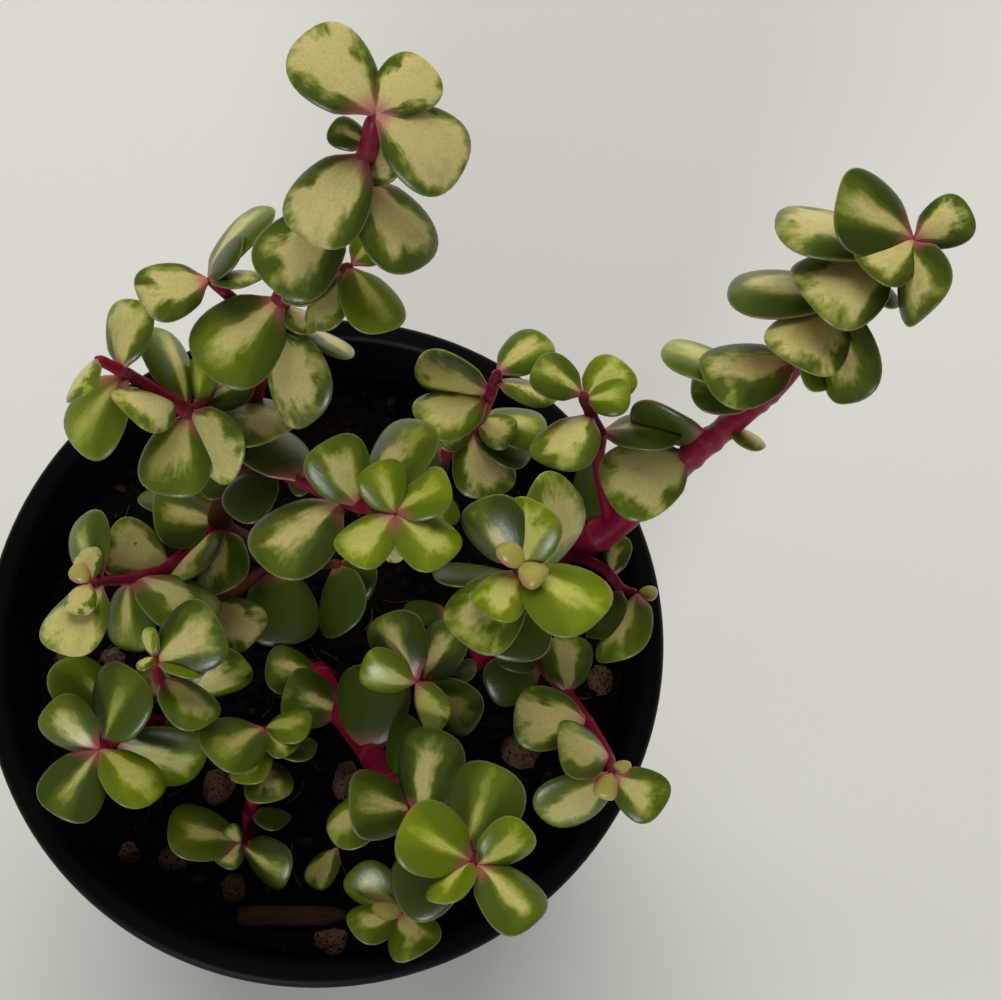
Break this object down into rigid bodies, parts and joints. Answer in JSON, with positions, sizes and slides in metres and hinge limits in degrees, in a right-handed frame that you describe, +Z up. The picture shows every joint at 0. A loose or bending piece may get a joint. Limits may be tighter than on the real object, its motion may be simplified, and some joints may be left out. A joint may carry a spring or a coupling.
{
  "type": "elephant bush in a nursery pot",
  "caption": "Young variegated elephant bush, its leafy stems leaning out over the rim of a round black plastic nursery pot.",
  "frame": {"origin": "centre of the pot's underside, where the pot stands", "axes": "+Z up; +X towards the longest leaning stem, -Y towards the side where the rim shows most"},
  "size_m": [0.1392, 0.1113, 0.1741],
  "materials": {
    "black_plastic": "thin black polypropylene with a satin sheen",
    "potting_mix": "dark, moist and crumbly",
    "foliage": "smooth waxy leaves, green with a cream middle, on magenta stems",
    "pumice": "rough and dull",
    "bark": "rough, dull and fibrous"
  },
  "bodies": {
    "root": {"pot": "black_plastic", "potting_mix": "potting_mix", "stem_tall": "foliage", "stem_left": "foliage", "stem_front_left": "foliage", "stem_front": "foliage", "stem_right": "foliage", "stem_back": "foliage", "stone_1": "pumice", "stone_2": "pumice", "stone_3": "pumice", "stone_4": "pumice", "stone_5": "pumice", "stone_6": "pumice", "stone_7": "pumice", "stone_8": "pumice", "stone_9": "pumice", "stone_10": "pumice", "bark_chip": "bark", "fallen_leaf": "foliage"}
  },
  "joints": []
}
